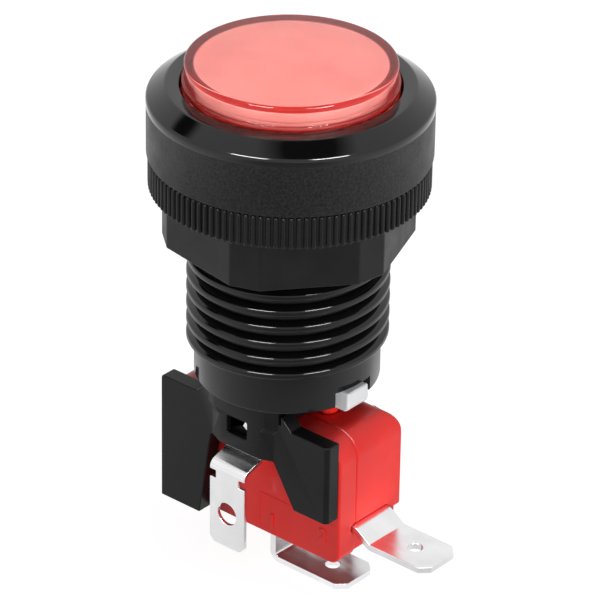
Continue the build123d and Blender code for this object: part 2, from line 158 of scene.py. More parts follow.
def turnedMesh(name, path, steps):
    # closed outline turned about the button's axis
    turns = [2 * math.pi * k / steps for k in range(steps)]
    bm = bmesh.new()
    rings = []
    for p in path:
        radius, height = p.x * mm, p.y * mm
        ring = [(radius * math.cos(t), radius * math.sin(t), height) for t in turns]
        if radius < mergeDistance:
            ring = [(0, 0, height)]
        rings.append([bm.verts.new(point) for point in ring])
    for a, b in zip(rings, rings[1:] + rings[:1]):
        if len(a) == 1 and len(b) == 1:
            continue
        for k in range(steps):
            n = (k + 1) % steps
            loop = [a[k % len(a)], a[n % len(a)], b[n % len(b)], b[k % len(b)]]
            bm.faces.new(list(dict.fromkeys(loop)))
    bmesh.ops.recalc_face_normals(bm, faces=bm.faces)
    return meshFromBm(name, bm)


def prismFaces(count):
    # two ends and the sides between them, for points listed end by end
    ends = [list(range(count - 1, -1, -1)), list(range(count, 2 * count))]
    return ends + [(k, (k + 1) % count, count + (k + 1) % count, count + k) for k in range(count)]


def blockObject(name, low, high):
    loop = [(low[0], low[1]), (high[0], low[1]), (high[0], high[1]), (low[0], high[1])]
    points = [Vector((x, y, z)) * mm for z in (low[2], high[2]) for x, y in loop]
    return newObject(name, meshFrom(name, points, prismFaces(len(loop))))


def squareMesh(name, half, height):
    corners = [(-half, -half), (half, -half), (half, half), (-half, half)]
    return meshFrom(name, [(x, y, height) for x, y in corners], [(0, 1, 2, 3)])


def nodeBox(node):
    # a node's lowest and highest corners in mm
    return [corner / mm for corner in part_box(node)]


def nodeCopy(node, name):
    # a node's shape as one merged mesh with flat faces whole
    bm = bmesh.new()
    bm.from_mesh(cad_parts[node].data)
    bmesh.ops.remove_doubles(bm, verts=bm.verts, dist=mergeDistance)
    bmesh.ops.dissolve_limit(bm, angle_limit=math.radians(flatAngle), verts=bm.verts, edges=bm.edges)
    bm.verts.ensure_lookup_table()
    bm.verts.index_update()
    mesh = meshFrom(name, [v.co for v in bm.verts], [[v.index for v in f.verts] for f in bm.faces])
    bm.free()
    return newObject(name, mesh)


def paint(obj, *names):
    obj.data.materials.clear()
    for name in names:
        obj.data.materials.append(finishes[name])


def finishPiece(obj, body, node=None):
    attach(obj, body)
    if node:
        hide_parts(node)
    print("piece", obj.name, "faces", len(obj.data.polygons))


# material helpers; scales are in features per metre, depths in mm

noiseLow, noiseHigh = 0.3, 0.7  # most of a noise's values lie between these
white = (1, 1, 1, 1)


def startMaterial(name, colour, roughness):
    material = bpy.data.materials.new(name)
    material.use_nodes = True
    shader = material.node_tree.nodes["Principled BSDF"]
    shader.inputs["Base Color"].default_value = (*colour, 1)
    shader.inputs["Roughness"].default_value = roughness
    return material, material.node_tree, shader


def noiseOn(tree, scale, detail=2.0, stretch=(1, 1, 1)):
    place = tree.nodes.new("ShaderNodeTexCoord")
    mapping = tree.nodes.new("ShaderNodeMapping")
    mapping.inputs["Scale"].default_value = stretch
    noise = tree.nodes.new("ShaderNodeTexNoise")
    noise.inputs["Scale"].default_value = scale
    noise.inputs["Detail"].default_value = detail
    tree.links.new(place.outputs["Object"], mapping.inputs["Vector"])
    tree.links.new(mapping.outputs["Vector"], noise.inputs["Vector"])
    return noise.outputs["Fac"]


def spread(tree, value, low, high, fromLow=noiseLow, fromHigh=noiseHigh):
    ranged = tree.nodes.new("ShaderNodeMapRange")
    ranged.inputs["From Min"].default_value = fromLow
    ranged.inputs["From Max"].default_value = fromHigh
    ranged.inputs["To Min"].default_value = low
    ranged.inputs["To Max"].default_value = high
    tree.links.new(value, ranged.inputs["Value"])
    return ranged.outputs["Result"]


def tint(tree, value, dark, light):
    ramp = tree.nodes.new("ShaderNodeValToRGB")
    for stop, position, colour in zip(ramp.color_ramp.elements, (noiseLow, noiseHigh), (dark, light)):
        stop.position = position
        stop.color = (*colour, 1)
    tree.links.new(value, ramp.inputs["Fac"])
    return ramp.outputs["Color"]


def relief(tree, shader, value, strength, depth, under=None):
    bump = tree.nodes.new("ShaderNodeBump")
    bump.inputs["Strength"].default_value = strength
    bump.inputs["Distance"].default_value = depth * mm
    tree.links.new(value, bump.inputs["Height"])
    if under:
        tree.links.new(under, bump.inputs["Normal"])
    tree.links.new(bump.outputs["Normal"], shader.inputs["Normal"])
    return bump.outputs["Normal"]


# moulded plastic: faint colour drift, patchy gloss, fine grain over a slow wave
moulding = {"patchScale": 420, "waveScale": 260, "waveDepth": 0.02, "grainStrength": 0.5}
plasticLooks = {
    "bezelGloss": {
        "dark": (0.004, 0.004, 0.0045), "light": (0.006, 0.006, 0.0065), "drift": 180,
        "rough": (0.06, 0.1), "shine": 0.42, "grain": 3500, "depth": 0.0005, "wave": 0.03,
    },
    "bezelSatin": {
        "dark": (0.003, 0.003, 0.0035), "light": (0.021, 0.021, 0.022), "drift": 3600,
        "rough": (0.38, 0.48), "shine": 0.2, "grain": 3600, "depth": 0.05, "wave": 0.02,
    },
    "barrelBlack": {
        "dark": (0.003, 0.003, 0.0035), "light": (0.005, 0.005, 0.0055), "drift": 180,
        "rough": (0.07, 0.11), "shine": 0.35, "grain": 3500, "depth": 0.0008, "wave": 0.04,
    },
    "nutBlack": {
        "dark": (0.006, 0.006, 0.0065), "light": (0.011, 0.011, 0.0115), "drift": 180,
        "rough": (0.36, 0.48), "shine": 0.2, "grain": 4200, "depth": 0.003, "wave": 0.05,
    },
    "holderBlack": {
        "dark": (0.004, 0.004, 0.0045), "light": (0.007, 0.007, 0.0075), "drift": 180,
        "rough": (0.26, 0.38), "shine": 0.18, "grain": 4200, "depth": 0.003, "wave": 0.05,
    },
    "whitePlastic": {
        "dark": (0.76, 0.77, 0.78), "light": (0.82, 0.83, 0.84), "drift": 180,
        "rough": (0.3, 0.4), "shine": 0.4, "grain": 3800, "depth": 0.002, "wave": 0.03,
    },
    "milkySheet": {
        "dark": (0.93, 0.92, 0.91), "light": (0.96, 0.95, 0.94), "drift": 180,
        "rough": (0.45, 0.55), "shine": 0.3, "grain": 3800, "depth": 0.002, "wave": 0.02,
    },
    "switchRed": {
        "dark": (0.74, 0.02, 0.016), "light": (0.82, 0.027, 0.021), "drift": 180,
        "rough": (0.3, 0.42), "shine": 0.4, "grain": 3600, "depth": 0.004, "wave": 0.08,
    },
}


def plasticFinish(name, look):
    material, tree, shader = startMaterial(name, look["dark"], look["rough"][0])
    shader.inputs["Specular IOR Level"].default_value = look["shine"]
    drift = noiseOn(tree, look["drift"])
    tree.links.new(tint(tree, drift, look["dark"], look["light"]), shader.inputs["Base Color"])
    patches = noiseOn(tree, moulding["patchScale"], detail=4)
    tree.links.new(spread(tree, patches, *look["rough"]), shader.inputs["Roughness"])
    wave = noiseOn(tree, moulding["waveScale"], detail=1)
    waved = relief(tree, shader, wave, look["wave"], moulding["waveDepth"])
    grain = noiseOn(tree, look["grain"], detail=3)
    relief(tree, shader, grain, moulding["grainStrength"], look["depth"], waved)
    return material


# rolled strip and drawn wire: faint stains, streaks along the rolling, a slow wave
rolling = {
    "stainScale": 320, "streakScale": 900, "streakStrength": 0.15, "streakDepth": 0.002,
    "waveScale": 240, "waveStrength": 0.12, "waveDepth": 0.03,
}
metalLooks = {
    "tinPlate": {
        "dark": (0.77, 0.77, 0.78), "light": (0.86, 0.86, 0.87),
        "rough": (0.16, 0.26), "stretch": (0.15, 1, 1),
    },
    "springSteel": {
        "dark": (0.42, 0.42, 0.43), "light": (0.56, 0.56, 0.57),
        "rough": (0.25, 0.35), "stretch": (1, 1, 0.2),
    },
    "contactBrass": {
        "dark": (0.72, 0.52, 0.26), "light": (0.82, 0.64, 0.36),
        "rough": (0.2, 0.3), "stretch": (0.2, 1, 1),
    },
}


def metalFinish(name, look):
    material, tree, shader = startMaterial(name, look["light"], look["rough"][0])
    shader.inputs["Metallic"].default_value = 1.0
    stains = noiseOn(tree, rolling["stainScale"], detail=3)
    tree.links.new(tint(tree, stains, look["dark"], look["light"]), shader.inputs["Base Color"])
    streaks = noiseOn(tree, rolling["streakScale"], detail=4, stretch=look["stretch"])
    tree.links.new(spread(tree, streaks, *look["rough"]), shader.inputs["Roughness"])
    wave = noiseOn(tree, rolling["waveScale"], detail=1)
    waved = relief(tree, shader, wave, rolling["waveStrength"], rolling["waveDepth"])
    relief(tree, shader, streaks, rolling["streakStrength"], rolling["streakDepth"], waved)
    return material


# see-through plastic; density is in absorption per metre
lensLook = {
    "surface": (1.0, 0.97, 0.96), "bend": 1.49, "clear": 1.0, "rough": (0.02, 0.06), "patchScale": 350,
    "waveScale": 150, "waveStrength": 0.05, "waveDepth": 0.02,
    "body": (0.9, 0.07, 0.06), "cloud": (0.2, 0.23), "cloudScale": 240,
    "colour": (0.96, 0.15, 0.02), "density": 290,
}
epoxyLook = {
    "surface": (0.97, 0.96, 0.92), "bend": 1.52, "clear": 0.85, "rough": (0.04, 0.12), "patchScale": 500,
    "waveScale": 300, "waveStrength": 0.06, "waveDepth": 0.02,
}


def clearFinish(name, look):
    material, tree, shader = startMaterial(name, look["surface"], look["rough"][0])
    shader.inputs["IOR"].default_value = look["bend"]
    shader.inputs["Transmission Weight"].default_value = look["clear"]
    patches = noiseOn(tree, look["patchScale"], detail=3)
    tree.links.new(spread(tree, patches, *look["rough"]), shader.inputs["Roughness"])
    wave = noiseOn(tree, look["waveScale"], detail=1)
    relief(tree, shader, wave, look["waveStrength"], look["waveDepth"])
    return material


def lensFinish(name, look):
    # a little cloudiness of its own colour, and a deeper red where it is thicker
    material = clearFinish(name, look)
    tree = material.node_tree
    ending = tree.nodes["Material Output"]
    body = tree.nodes.new("ShaderNodeBsdfDiffuse")
    body.inputs["Color"].default_value = (*look["body"], 1)
    mixed = tree.nodes.new("ShaderNodeMixShader")
    tree.links.new(spread(tree, noiseOn(tree, look["cloudScale"]), *look["cloud"]), mixed.inputs["Fac"])
    tree.links.new(tree.nodes["Principled BSDF"].outputs["BSDF"], mixed.inputs[1])
    tree.links.new(body.outputs["BSDF"], mixed.inputs[2])
    tree.links.new(mixed.outputs["Shader"], ending.inputs["Surface"])
    absorb = tree.nodes.new("ShaderNodeVolumeAbsorption")
    absorb.inputs["Color"].default_value = (*look["colour"], 1)
    absorb.inputs["Density"].default_value = look["density"]
    tree.links.new(absorb.outputs["Volume"], ending.inputs["Volume"])
    return material


finishes = {name: plasticFinish(name, look) for name, look in plasticLooks.items()}
finishes.update({name: metalFinish(name, look) for name, look in metalLooks.items()})
finishes["lensRed"] = lensFinish("lensRed", lensLook)
finishes["lampEpoxy"] = clearFinish("lampEpoxy", epoxyLook)
print("materials made", len(finishes))


# housing: bezel and barrel as one turned moulding; sizes in mm, heights from the panel, angles in degrees
housing = {
    "bevelRun": 2.1, "bevelRise": 1.4, "bevelRound": 0.5, "faceRing": 1.6, "faceRound": 0.45,
    "wellFloor": 1.6, "wellShelf": 3.1, "panelRound": 0.3, "edgeRound": 0.2, "fineRound": 0.15,
    "barrelWall": 1.3, "tailWall": 1.4, "tailTop": -23.0, "tailStep": 0.05,
    "satinTop": 6.05, "satinInset": 0.036, "satinBlend": 0.03, "satinBand": 0.08, "bezelFoot": -0.1,
    "notchLow": -3.35, "notchHigh": 2.3, "notchTop": -25.7,
    "cutNear": 5, "cutFar": 20, "cutFoot": -30,  # the blocks that cut the notches
    "steps": 240, "shade": 32,
}


def housingOutline(low, high):
    top, floor = high.z, housing["wellFloor"]
    side = high.x
    satin = side - housing["satinInset"]
    face = side - housing["bevelRun"]
    well = face - housing["faceRing"]
    bore = well - housing["wellShelf"]
    root = bore + housing["barrelWall"]
    tail = bore + housing["tailWall"]
    edge, fine = housing["edgeRound"], housing["fineRound"]
    return [
        (bore, low.z, fine),
        (tail, low.z, edge),
        (tail, housing["tailTop"], 0),
        (root, housing["tailTop"] + housing["tailStep"], 0),
        (root, 0, housing["panelRound"]),
        (satin, 0, housing["panelRound"]),
        (satin, housing["satinTop"] - housing["satinBlend"], 0),
        (side, housing["satinTop"] + housing["satinBlend"], 0),
        (side, top - housing["bevelRise"], housing["bevelRound"]),
        (face, top, housing["faceRound"]),
        (well, top, fine),
        (well, floor, edge),
        (bore, floor, edge),
    ]


def makeHousing():
    low, high = nodeBox("housing")
    path = roundedPath(housingOutline(low, high))
    shell = newObject("housingShell", turnedMesh("housingShell", path, housing["steps"]))
    left, right, top = housing["notchLow"], housing["notchHigh"], housing["notchTop"]
    near, far, foot = housing["cutNear"], housing["cutFar"], housing["cutFoot"]
    cutAway(shell, [
        blockObject("notchFront", (near, left, foot), (far, right, top)),
        blockObject("notchBack", (-far, -right, foot), (-near, -left, top)),
    ])
    softShade(shell.data, housing["shade"])
    paint(shell, "barrelBlack", "bezelGloss", "bezelSatin")
    barrel, gloss, satin = range(3)
    for polygon in shell.data.polygons:
        x, y, z = polygon.center / mm
        onSide = math.hypot(x, y) > high.x - housing["satinBand"]
        if onSide and 0 < z < housing["satinTop"]:
            polygon.material_index = satin
        else:
            polygon.material_index = gloss if z > housing["bezelFoot"] else barrel
    finishPiece(shell, "base", "housing")


makeHousing()


# geometry node helpers

def feed(tree, socket, source):
    # a link from another node, or a plain value
    if isinstance(source, bpy.types.NodeSocket):
        tree.links.new(source, socket)
    else:
        socket.default_value = source


def startTree(name, inputs):
    tree = bpy.data.node_groups.new(name, "GeometryNodeTree")
    tree.interface.new_socket("Geometry", in_out="OUTPUT", socket_type="NodeSocketGeometry")
    for label, (kind, value) in inputs.items():
        socket = tree.interface.new_socket(label, in_out="INPUT", socket_type="NodeSocket" + kind)
        if kind != "Material":
            socket.default_value = value
    return tree, tree.nodes.new("NodeGroupInput").outputs, tree.nodes.new("NodeGroupOutput")


def addNode(tree, kind, sources=None, **settings):
    node = tree.nodes.new("GeometryNode" + kind)
    for label, value in settings.items():
        setattr(node, label, value)
    for label, source in (sources or {}).items():
        feed(tree, node.inputs[label], source)
    return node


def addMath(tree, operation, a, b):
    node = tree.nodes.new("ShaderNodeMath")
    node.operation = operation
    feed(tree, node.inputs[0], a)
    feed(tree, node.inputs[1], b)
    return node.outputs["Value"]


def addVector(tree, x=0.0, y=0.0, z=0.0):
    node = tree.nodes.new("ShaderNodeCombineXYZ")
    for socket, source in zip(node.inputs, (x, y, z)):
        feed(tree, socket, source)
    return node.outputs["Vector"]


def endTree(tree, geometry, finish, output):
    realized = addNode(tree, "RealizeInstances", {"Geometry": geometry})
    painted = addNode(tree, "SetMaterial", {"Geometry": realized.outputs["Geometry"], "Material": finish})
    tree.links.new(painted.outputs["Geometry"], output.inputs["Geometry"])


def growFrom(name, tree, values):
    # a piece from a tree, with its inputs set before it is first evaluated
    obj = newObject(name, bpy.data.meshes.new(name))
    grow = obj.modifiers.new("grow", "NODES")
    grow.node_group = tree
    for item in tree.interface.items_tree:
        if item.in_out == "INPUT" and item.name in values:
            grow[item.identifier] = values[item.name]
    freeze(obj)
    return obj


def sweep(tree, curve, section):
    # a section swept along a curve and sized by the curve's radius
    radius = addNode(tree, "InputRadius").outputs["Radius"]
    return addNode(tree, "CurveToMesh", {
        "Curve": curve, "Profile Curve": section, "Scale": radius, "Fill Caps": True,
    }).outputs["Mesh"]


tipShare = 0.05  # of the section's size, left at a spiral's two ends


def spiralTree(name, profile):
    # a profile swept up a right-hand spiral
    tree, given, output = startTree(name, {
        "Radius": ("Float", 0.01), "Pitch": ("Float", 0.002), "Turns": ("Float", 3.0), "Foot": ("Float", 0.0),
        "Start": ("Float", 0.0), "Steps": ("Int", 96), "Base": ("Float", 0.001), "Crest": ("Float", 0.0005),
        "Depth": ("Float", 0.001), "Rounding": ("Float", 0.0001), "Run Out": ("Float", 0.00001),
        "Finish": ("Material", None),
    })
    spiral = addNode(tree, "CurveSpiral", {
        "Resolution": given["Steps"], "Rotations": given["Turns"], "Start Radius": given["Radius"],
        "End Radius": given["Radius"], "Height": addMath(tree, "MULTIPLY", given["Pitch"], given["Turns"]),
        "Reverse": True,
    })
    upright = addNode(tree, "SetCurveNormal", {"Curve": spiral.outputs["Curve"]}, mode="Z_UP")
    # the section draws in over the run-out at both ends
    along = addNode(tree, "SplineParameter").outputs["Length"]
    left = addMath(tree, "SUBTRACT", addNode(tree, "SplineLength").outputs["Length"], along)
    share = addMath(tree, "DIVIDE", addMath(tree, "MINIMUM", along, left), given["Run Out"])
    radius = addMath(tree, "MAXIMUM", addMath(tree, "MINIMUM", share, 1.0), tipShare)
    tapered = addNode(tree, "SetCurveRadius", {"Curve": upright.outputs["Curve"], "Radius": radius})
    placed = addNode(tree, "Transform", {
        "Geometry": sweep(tree, tapered.outputs["Curve"], profile(tree, given)),
        "Translation": addVector(tree, z=given["Foot"]), "Rotation": addVector(tree, z=given["Start"]),
    })
    endTree(tree, placed.outputs["Geometry"], given["Finish"], output)
    return tree


# thread: a ridge round the barrel; sizes in mm, angles in degrees
thread = {
    "root": 10.3, "pitch": 2.0, "foot": -23.33, "top": -1.0, "start": 130.0, "runOut": 7.0,
    "base": 1.92, "crest": 0.6, "depth": 1.18, "rounding": 0.25, "roundSteps": 4, "steps": 160, "shade": 40,
}


def ridgeProfile(tree, given):
    # trapezoid with its crest outwards
    flat = addNode(tree, "CurvePrimitiveQuadrilateral", {
        "Height": given["Depth"], "Bottom Width": given["Base"], "Top Width": given["Crest"], "Offset": 0.0,
    }, mode="TRAPEZOID")
    outwards = addNode(tree, "Transform", {
        "Geometry": flat.outputs["Curve"], "Rotation": (0, 0, -math.pi / 2),
        "Translation": addVector(tree, x=addMath(tree, "MULTIPLY", given["Depth"], 0.5)),
    })
    rounded = addNode(tree, "FilletCurve", {
        "Curve": outwards.outputs["Geometry"], "Count": thread["roundSteps"], "Radius": given["Rounding"],
        "Limit Radius": True,
    }, mode="POLY")
    return rounded.outputs["Curve"]


def makeThread():
    ridge = growFrom("threadRidge", spiralTree("threadSpiral", ridgeProfile), {
        "Radius": thread["root"] * mm, "Pitch": thread["pitch"] * mm,
        "Turns": (thread["top"] - thread["foot"]) / thread["pitch"], "Foot": thread["foot"] * mm,
        "Start": math.radians(thread["start"]), "Steps": thread["steps"], "Base": thread["base"] * mm,
        "Crest": thread["crest"] * mm, "Depth": thread["depth"] * mm, "Rounding": thread["rounding"] * mm,
        "Run Out": thread["runOut"] * mm, "Finish": finishes["barrelBlack"],
    })
    softShade(ridge.data, thread["shade"])
    paint(ridge, "barrelBlack")
    finishPiece(ridge, "base")


makeThread()


# return spring; sizes in mm, angles in degrees
spring = {"wire": 0.8, "foot": 2.05, "rise": 5.5, "turns": 3.0, "sides": 12, "steps": 64, "shade": 50}


def wireProfile(tree, given):
    ring = addNode(tree, "CurvePrimitiveCircle", {
        "Resolution": spring["sides"], "Radius": addMath(tree, "MULTIPLY", given["Depth"], 0.5),
    }, mode="RADIUS")
    return ring.outputs["Curve"]


def makeSpring():
    reach = nodeBox("return_spring")[1].x
    coil = growFrom("returnCoil", spiralTree("coilSpiral", wireProfile), {
        "Radius": (reach - spring["wire"] / 2) * mm, "Pitch": spring["rise"] / spring["turns"] * mm,
        "Turns": spring["turns"], "Foot": spring["foot"] * mm, "Steps": spring["steps"],
        "Depth": spring["wire"] * mm, "Finish": finishes["springSteel"],
    })
    softShade(coil.data, spring["shade"])
    paint(coil, "springSteel")
    finishPiece(coil, "base", "return_spring")
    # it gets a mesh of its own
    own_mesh(coil)


makeSpring()


# panel nut: six flats with cut corners under a knurled flange; sizes in mm, angles in degrees
nut = {
    "turn": -39.4, "sides": 12, "wall": 1.45, "cornerRise": 1.0, "overlap": 1.0, "boreSpare": 1.0,
    "flangeRim": 2.7, "flangeHeight": 3.9, "rimRound": 0.15, "boreRound": 0.1,
    "edge": 0.18, "edgeSteps": 3, "edgeAngle": 15, "steps": 160, "shade": 35,
}
knurl = {
    "teeth": 118, "depth": 0.34, "width": 0.58, "endGap": 0.02, "endRound": 0.18, "endShare": 0.45,
    "sides": 10, "cuts": 24, "shade": 60,
}


def nutLoop(flat):
    # where each side meets the next, flats and cut corners in turn
    depths = (flat, flat + nut["cornerRise"])
    loop = []
    for k in range(nut["sides"]):
        a, b = (math.radians(nut["turn"] + 360 / nut["sides"] * (k + i)) for i in (0, 1))
        p, q = depths[k % 2], depths[(k + 1) % 2]
        x = p * math.sin(b) - q * math.sin(a)
        y = q * math.cos(a) - p * math.cos(b)
        loop.append((x / math.sin(b - a), y / math.sin(b - a)))
    return loop


def knurlTree():
    tree, given, output = startTree("knurlRing", {
        "Teeth": ("Int", 118), "Reach": ("Float", 0.0158), "Width": ("Float", 0.0006), "Top": ("Float", 0.0),
        "Foot": ("Float", -0.004), "Sides": ("Int", 10), "End Round": ("Float", 0.0002),
        "Finish": ("Material", None),
    })
    half = addMath(tree, "MULTIPLY", given["Width"], 0.5)
    ring = addNode(tree, "MeshCircle", {
        "Vertices": given["Teeth"], "Radius": addMath(tree, "SUBTRACT", given["Reach"], half),
    })
    line = addNode(tree, "CurvePrimitiveLine", {
        "Start": addVector(tree, z=given["Foot"]), "End": addVector(tree, z=given["Top"]),
    })
    fine = addNode(tree, "ResampleCurve", {"Curve": line.outputs["Curve"], "Count": knurl["cuts"]})
    # the ends draw in like a rounded column
    along = addNode(tree, "SplineParameter").outputs["Length"]
    whole = addMath(tree, "SUBTRACT", given["Top"], given["Foot"])
    nearest = addMath(tree, "MINIMUM", along, addMath(tree, "SUBTRACT", whole, along))
    share = addMath(tree, "MINIMUM", addMath(tree, "DIVIDE", nearest, given["End Round"]), 1.0)
    growth = addMath(tree, "MULTIPLY", share, 1 - knurl["endShare"])
    radius = addMath(tree, "ADD", knurl["endShare"], growth)
    shaped = addNode(tree, "SetCurveRadius", {"Curve": fine.outputs["Curve"], "Radius": radius})
    section = addNode(tree, "CurvePrimitiveCircle", {
        "Resolution": given["Sides"], "Radius": half,
    }, mode="RADIUS")
    column = sweep(tree, shaped.outputs["Curve"], section.outputs["Curve"])
    teeth = addNode(tree, "InstanceOnPoints", {"Points": ring.outputs["Mesh"], "Instance": column})
    endTree(tree, teeth.outputs["Instances"], given["Finish"], output)
    return tree


def makeNut():
    low, high = nodeBox("panel_nut")
    reach, foot, top = high.x, low.z, high.z
    flangeFoot = top - nut["flangeHeight"]
    flat = reach - nut["flangeRim"]
    bore = flat - nut["wall"]

    bodyTop = flangeFoot + nut["overlap"]
    points = [Vector((x, y, z)) * mm for z in (foot, bodyTop) for x, y in nutLoop(flat)]
    body = newObject("nutBody", meshFrom("nutBody", points, prismFaces(nut["sides"])))
    under, over = foot - nut["boreSpare"], bodyTop + nut["boreSpare"]
    plug = roundedPath([(0, under, 0), (bore, under, 0), (bore, over, 0), (0, over, 0)])
    cutAway(body, [newObject("nutBore", turnedMesh("nutBore", plug, nut["steps"]))])
    roundEdges(body, nut["edge"], nut["edgeSteps"], nut["edgeAngle"])
    paint(body, "nutBlack")
    finishPiece(body, "clamp_nut", "panel_nut")

    root = reach - knurl["depth"]
    rim = roundedPath([
        (bore, flangeFoot, nut["boreRound"]), (root, flangeFoot, nut["rimRound"]),
        (root, top, nut["rimRound"]), (bore, top, nut["boreRound"]),
    ])
    flange = newObject("nutFlange", turnedMesh("nutFlange", rim, nut["steps"]))
    softShade(flange.data, nut["shade"])
    paint(flange, "nutBlack")
    finishPiece(flange, "clamp_nut")

    teeth = growFrom("nutKnurl", knurlTree(), {
        "Teeth": knurl["teeth"], "Reach": reach * mm, "Width": knurl["width"] * mm,
        "Top": (top - knurl["endGap"]) * mm, "Foot": (flangeFoot + knurl["endGap"]) * mm,
        "Sides": knurl["sides"], "End Round": knurl["endRound"] * mm, "Finish": finishes["nutBlack"],
    })
    softShade(teeth.data, knurl["shade"])
    paint(teeth, "nutBlack")
    finishPiece(teeth, "clamp_nut")


makeNut()


# lens: clear red cup over the milky disc; sizes in mm, angles in degrees
lens = {
    "wall": 1.05, "topWall": 1.05, "skirtStep": 0.25, "skirtDrop": 2.25,
    "beadDrop": 2.2, "beadDepth": 0.25, "beadLand": 0.35, "beadSlope": 0.35,
    "rimRound": 0.4, "stepRound": 0.06, "skirtRound": 0.1, "footRound": 0.12, "mouthRound": 0.1,
    "beadRound": 0.05, "ceilingRound": 0.12,
    "steps": 200, "arcSteps": 6, "shade": 35,
}


def lensOutline(low, high):
    top, skirt = high.z, high.x
    side = skirt - lens["skirtStep"]
    inner = side - lens["wall"]
    bead = inner - lens["beadDepth"]
    skirtTop = top - lens["skirtDrop"]
    ceiling = top - lens["topWall"]
    beadTop = ceiling - lens["beadDrop"]
    beadFoot = beadTop - lens["beadLand"]
    return [
        (0, top, 0),
        (side, top, lens["rimRound"]),
        (side, skirtTop, lens["stepRound"]),
        (skirt, skirtTop, lens["skirtRound"]),
        (skirt, low.z, lens["footRound"]),
        (inner, low.z, lens["mouthRound"]),
        (inner, beadFoot - lens["beadSlope"], 0),
        (bead, beadFoot, 0),
        (bead, beadTop, lens["beadRound"]),
        (inner, beadTop, 0),
        (inner, ceiling, lens["ceilingRound"]),
        (0, ceiling, 0),
    ]


def makeLens():
    path = roundedPath(lensOutline(*nodeBox("lens_cap")), lens["arcSteps"])
    cup = newObject("lensCup", turnedMesh("lensCup", path, lens["steps"]))
    softShade(cup.data, lens["shade"])
    paint(cup, "lensRed")
    finishPiece(cup, "push_button", "lens_cap")


makeLens()


# pieces whose shape is the solid's own, with moulded or stamped edges: name, body, slot, finish,
# the edges' width in mm and their steps
softened = {
    "switch_holder": ("holderBody", "base", "black_satin", "holderBlack", 0.14, 3),
    "plunger": ("plungerBody", "push_button", "white_plastic", "whitePlastic", 0.32, 4),
    "diffuser_disc": ("diffuserSheet", "push_button", "milky_plastic", "milkySheet", 0.12, 2),
    "switch_case": ("caseBody", "base", "red_plastic", "switchRed", 0.28, 4),
    "switch_cover": ("coverBody", "base", "red_plastic", "switchRed", 0.28, 4),
    "switch_button": ("actuatorBody", "switch_actuator", "red_plastic", "switchRed", 0.1, 2),
    "lamp_base": ("lampBody", "base", "white_plastic", "whitePlastic", 0.2, 3),
    "lamp_terminal_front": ("lampTabFront", "base", "tinned_metal", "tinPlate", 0.09, 2),
    "lamp_terminal_rear": ("lampTabRear", "base", "tinned_metal", "tinPlate", 0.09, 2),
    "lamp_lead_front": ("lampLeadFront", "base", "tinned_metal", "tinPlate", 0.06, 2),
    "lamp_lead_rear": ("lampLeadRear", "base", "tinned_metal", "tinPlate", 0.06, 2),
    "no_terminal": ("endBlade", "base", "tinned_metal", "tinPlate", 0.1, 2),
    "com_terminal": ("underBlade", "base", "tinned_metal", "tinPlate", 0.1, 2),
    "contact_blade": ("contactStrip", "contact_arm", "contact_brass", "contactBrass", 0.05, 2),
    "moving_contact": ("contactUpper", "contact_arm", "contact_brass", "contactBrass", 0.12, 3),
    "fixed_contact": ("contactLower", "base", "contact_brass", "contactBrass", 0.12, 3),
}
softenAngle = 28  # degrees; sharper edges than this are rounded

# corners drawn out to the photograph's lines: the long wing's inner edge and the plunger's hooks, in mm
drawnOut = {
    "near": 0.05,  # a corner this close to a line lies on it
    "wingEdge": -6.8, "wingRoot": -4.9, "wingTip": -6.6,
    "hookFace": 10.3, "hookBelow": -20.0, "hookSide": 2.45,
    "hookReach": 0.55, "hookLift": 0.2, "hookWiden": 0.3,
}


def drawWing(piece):
    foot = nodeBox("switch_holder")[0].z
    for vertex in piece.data.vertices:
        corner = vertex.co / mm
        if abs(corner.x - drawnOut["wingEdge"]) < drawnOut["near"]:
            atFoot = abs(corner.z - foot) < drawnOut["near"]
            vertex.co.x = drawnOut["wingTip" if atFoot else "wingRoot"] * mm


def drawHooks(piece):
    for vertex in piece.data.vertices:
        corner = vertex.co / mm
        if abs(corner.x) > drawnOut["hookFace"] and corner.z < drawnOut["hookBelow"]:
            side = math.copysign(1, corner.x)
            vertex.co += Vector((side * drawnOut["hookReach"], 0, drawnOut["hookLift"])) * mm
            if abs(corner.y * side + drawnOut["hookSide"]) < drawnOut["near"]:
                vertex.co.y -= side * drawnOut["hookWiden"] * mm


redrawn = {"switch_holder": drawWing, "plunger": drawHooks}


def makeSoftened():
    for node, (name, body, slot, finish, width, segments) in softened.items():
        piece = nodeCopy(node, name)
        if node in redrawn:
            redrawn[node](piece)
        roundEdges(piece, width, segments, softenAngle)
        paint(piece, finish)
        finishPiece(piece, body, node)


makeSoftened()
paint(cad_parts["led_dome"], "lampEpoxy")  # the dome keeps its own shape


# switch cover: a fine raised corner line and generic numerals by the blades; sizes in mm
coverMarks = {
    "left": 0.8, "right": 12.0, "top": -41.3, "foot": -46.0, "line": 0.14, "rise": 0.05,
    "numerals": [("1", 2.2, -45.2), ("2", 9.8, -44.0)],
    "height": 2.3, "numeralRise": 0.1, "numeralRound": 0.06,
}


def cornerLine(face):
    left, right, top, foot = (coverMarks[k] for k in ("left", "right", "top", "foot"))
    inner, under = left + coverMarks["line"], top - coverMarks["line"]
    loop = [(left, foot), (inner, foot), (inner, under), (right, under), (right, top), (left, top)]
    depths = (face - coverMarks["rise"], face + coverMarks["rise"])
    points = [Vector((x, y, z)) * mm for y in depths for x, z in loop]
    return meshFrom("coverLine", points, prismFaces(len(loop)))


